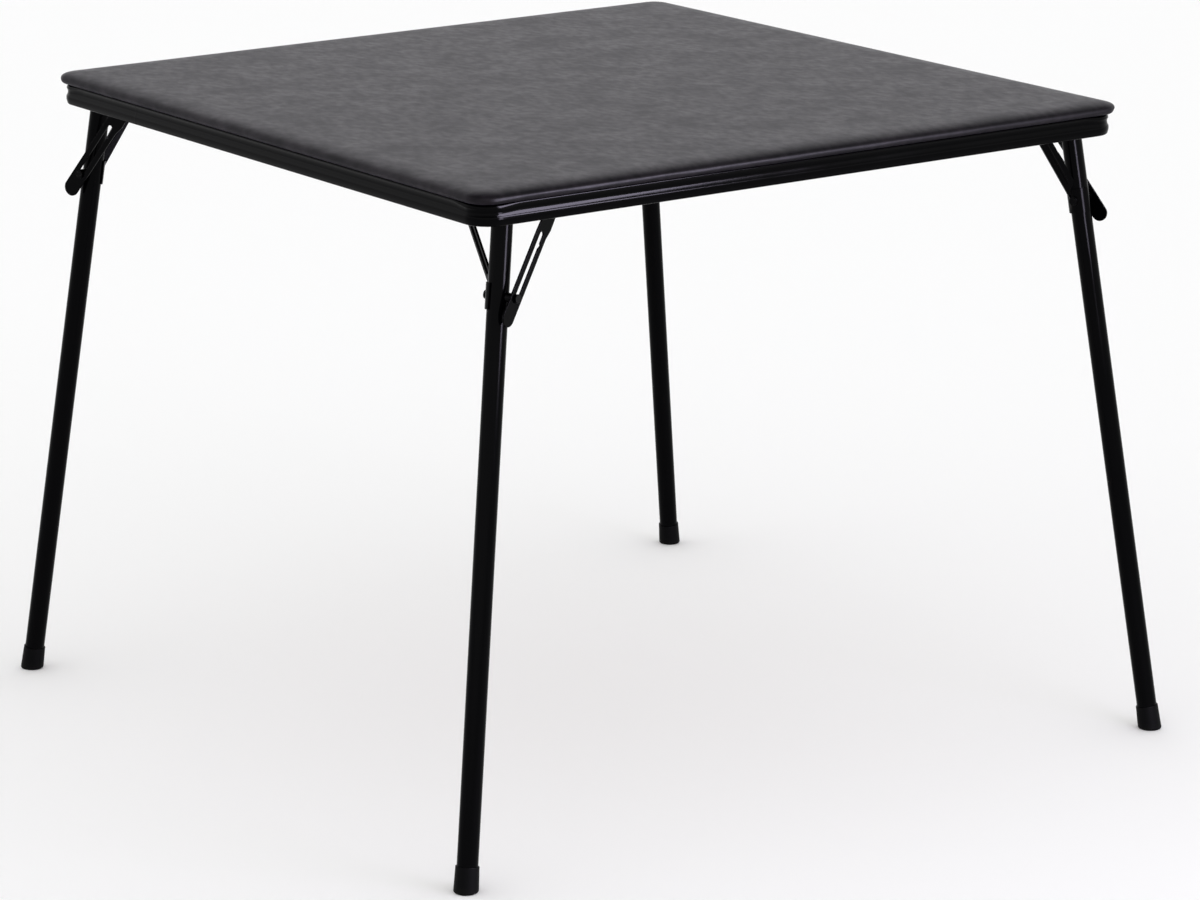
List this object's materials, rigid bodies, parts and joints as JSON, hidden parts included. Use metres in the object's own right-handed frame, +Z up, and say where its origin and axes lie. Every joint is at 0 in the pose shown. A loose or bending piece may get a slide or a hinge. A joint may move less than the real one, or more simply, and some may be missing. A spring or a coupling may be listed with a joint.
{
  "type": "folding card table",
  "caption": "Square folding card table with a padded vinyl top in a steel rail and splayed tube legs that fold under it on slotted stays.",
  "frame": {"origin": "on the floor under the middle of the top", "axes": "+Z up, X and Y along the sides of the top, the front left corner at -X -Y"},
  "size_m": [0.9598, 0.9598, 0.7112],
  "materials": {
    "powder_coat": "gloss black powder coat on steel",
    "rivet_steel": "blackened steel rivet",
    "zinc": "zinc plated",
    "hardboard": "tempered hardboard",
    "foam": "open cell foam",
    "vinyl": "satin black leather-grained vinyl",
    "rubber": "moulded"
  },
  "bodies": {
    "tabletop": {"rail_frame": "powder_coat", "panel_screws": "zinc", "panel_board": "hardboard", "foam_pad": "foam", "vinyl_cover": "vinyl", "corner_bracket_front_left": "powder_coat", "leg_pivot_front_left": "rivet_steel", "brace_pivot_front_left": "rivet_steel", "corner_bracket_front_right": "powder_coat", "leg_pivot_front_right": "rivet_steel", "brace_pivot_front_right": "rivet_steel", "corner_bracket_rear_right": "powder_coat", "leg_pivot_rear_right": "rivet_steel", "brace_pivot_rear_right": "rivet_steel", "corner_bracket_rear_left": "powder_coat", "leg_pivot_rear_left": "rivet_steel", "brace_pivot_rear_left": "rivet_steel"},
    "leg_front_left": {"leg_tube_front_left": "powder_coat", "leg_brace_front_left": "powder_coat", "foot_cap_front_left": "rubber"},
    "pin_front_left": {"slide_pin_front_left": "rivet_steel"},
    "stay_front_left": {"slotted_stay_front_left": "powder_coat", "stay_rivet_front_left": "rivet_steel"},
    "leg_front_right": {"leg_tube_front_right": "powder_coat", "leg_brace_front_right": "powder_coat", "foot_cap_front_right": "rubber"},
    "pin_front_right": {"slide_pin_front_right": "rivet_steel"},
    "stay_front_right": {"slotted_stay_front_right": "powder_coat", "stay_rivet_front_right": "rivet_steel"},
    "leg_rear_right": {"leg_tube_rear_right": "powder_coat", "leg_brace_rear_right": "powder_coat", "foot_cap_rear_right": "rubber"},
    "pin_rear_right": {"slide_pin_rear_right": "rivet_steel"},
    "stay_rear_right": {"slotted_stay_rear_right": "powder_coat", "stay_rivet_rear_right": "rivet_steel"},
    "leg_rear_left": {"leg_tube_rear_left": "powder_coat", "leg_brace_rear_left": "powder_coat", "foot_cap_rear_left": "rubber"},
    "pin_rear_left": {"slide_pin_rear_left": "rivet_steel"},
    "stay_rear_left": {"slotted_stay_rear_left": "powder_coat", "stay_rivet_rear_left": "rivet_steel"}
  },
  "joints": [
    {"name": "leg_fold_front_left", "type": "hinge", "parent": "tabletop", "child": "leg_front_left", "pos_m": [-0.3745, -0.3922, 0.683], "axis": [0.3502, -0.9367, 0], "range_deg": [0, 99]},
    {"name": "pin_turn_front_left", "type": "hinge", "parent": "leg_front_left", "child": "pin_front_left", "pos_m": [-0.38695, -0.39685, 0.5991], "axis": [0.3502, -0.9367, 0], "range_deg": [0, 31.06]},
    {"name": "stay_slide_front_left", "type": "slide", "parent": "pin_front_left", "child": "stay_front_left", "axis": [-0.5801, -0.2169, -0.7851], "range_m": [0, 0.07274]},
    {"name": "leg_fold_front_right", "type": "hinge", "parent": "tabletop", "child": "leg_front_right", "pos_m": [0.3922, -0.3745, 0.683], "axis": [0.9367, 0.3502, 0], "range_deg": [0, 99]},
    {"name": "pin_turn_front_right", "type": "hinge", "parent": "leg_front_right", "child": "pin_front_right", "pos_m": [0.39685, -0.38695, 0.5991], "axis": [0.9367, 0.3502, 0], "range_deg": [0, 31.06]},
    {"name": "stay_slide_front_right", "type": "slide", "parent": "pin_front_right", "child": "stay_front_right", "axis": [0.2169, -0.5801, -0.7851], "range_m": [0, 0.07274]},
    {"name": "leg_fold_rear_right", "type": "hinge", "parent": "tabletop", "child": "leg_rear_right", "pos_m": [0.3745, 0.3922, 0.683], "axis": [-0.3502, 0.9367, 0], "range_deg": [0, 99]},
    {"name": "pin_turn_rear_right", "type": "hinge", "parent": "leg_rear_right", "child": "pin_rear_right", "pos_m": [0.38695, 0.39685, 0.5991], "axis": [-0.3502, 0.9367, 0], "range_deg": [0, 31.06]},
    {"name": "stay_slide_rear_right", "type": "slide", "parent": "pin_rear_right", "child": "stay_rear_right", "axis": [0.5801, 0.2169, -0.7851], "range_m": [0, 0.07274]},
    {"name": "leg_fold_rear_left", "type": "hinge", "parent": "tabletop", "child": "leg_rear_left", "pos_m": [-0.3922, 0.3745, 0.683], "axis": [-0.9367, -0.3502, 0], "range_deg": [0, 99]},
    {"name": "pin_turn_rear_left", "type": "hinge", "parent": "leg_rear_left", "child": "pin_rear_left", "pos_m": [-0.39685, 0.38695, 0.5991], "axis": [-0.9367, -0.3502, 0], "range_deg": [0, 31.06]},
    {"name": "stay_slide_rear_left", "type": "slide", "parent": "pin_rear_left", "child": "stay_rear_left", "axis": [-0.2169, 0.5801, -0.7851], "range_m": [0, 0.07274]}
  ],
  "couplings": [
    {"joint": "pin_turn_front_left", "follows": "leg_fold_front_left", "ratio": 0.31323},
    {"joint": "stay_slide_front_left", "follows": "leg_fold_front_left", "m_per_rad": 0.042089},
    {"joint": "pin_turn_front_right", "follows": "leg_fold_front_right", "ratio": 0.31323},
    {"joint": "stay_slide_front_right", "follows": "leg_fold_front_right", "m_per_rad": 0.042089},
    {"joint": "pin_turn_rear_right", "follows": "leg_fold_rear_right", "ratio": 0.31323},
    {"joint": "stay_slide_rear_right", "follows": "leg_fold_rear_right", "m_per_rad": 0.042089},
    {"joint": "pin_turn_rear_left", "follows": "leg_fold_rear_left", "ratio": 0.31323},
    {"joint": "stay_slide_rear_left", "follows": "leg_fold_rear_left", "m_per_rad": 0.042089}
  ]
}
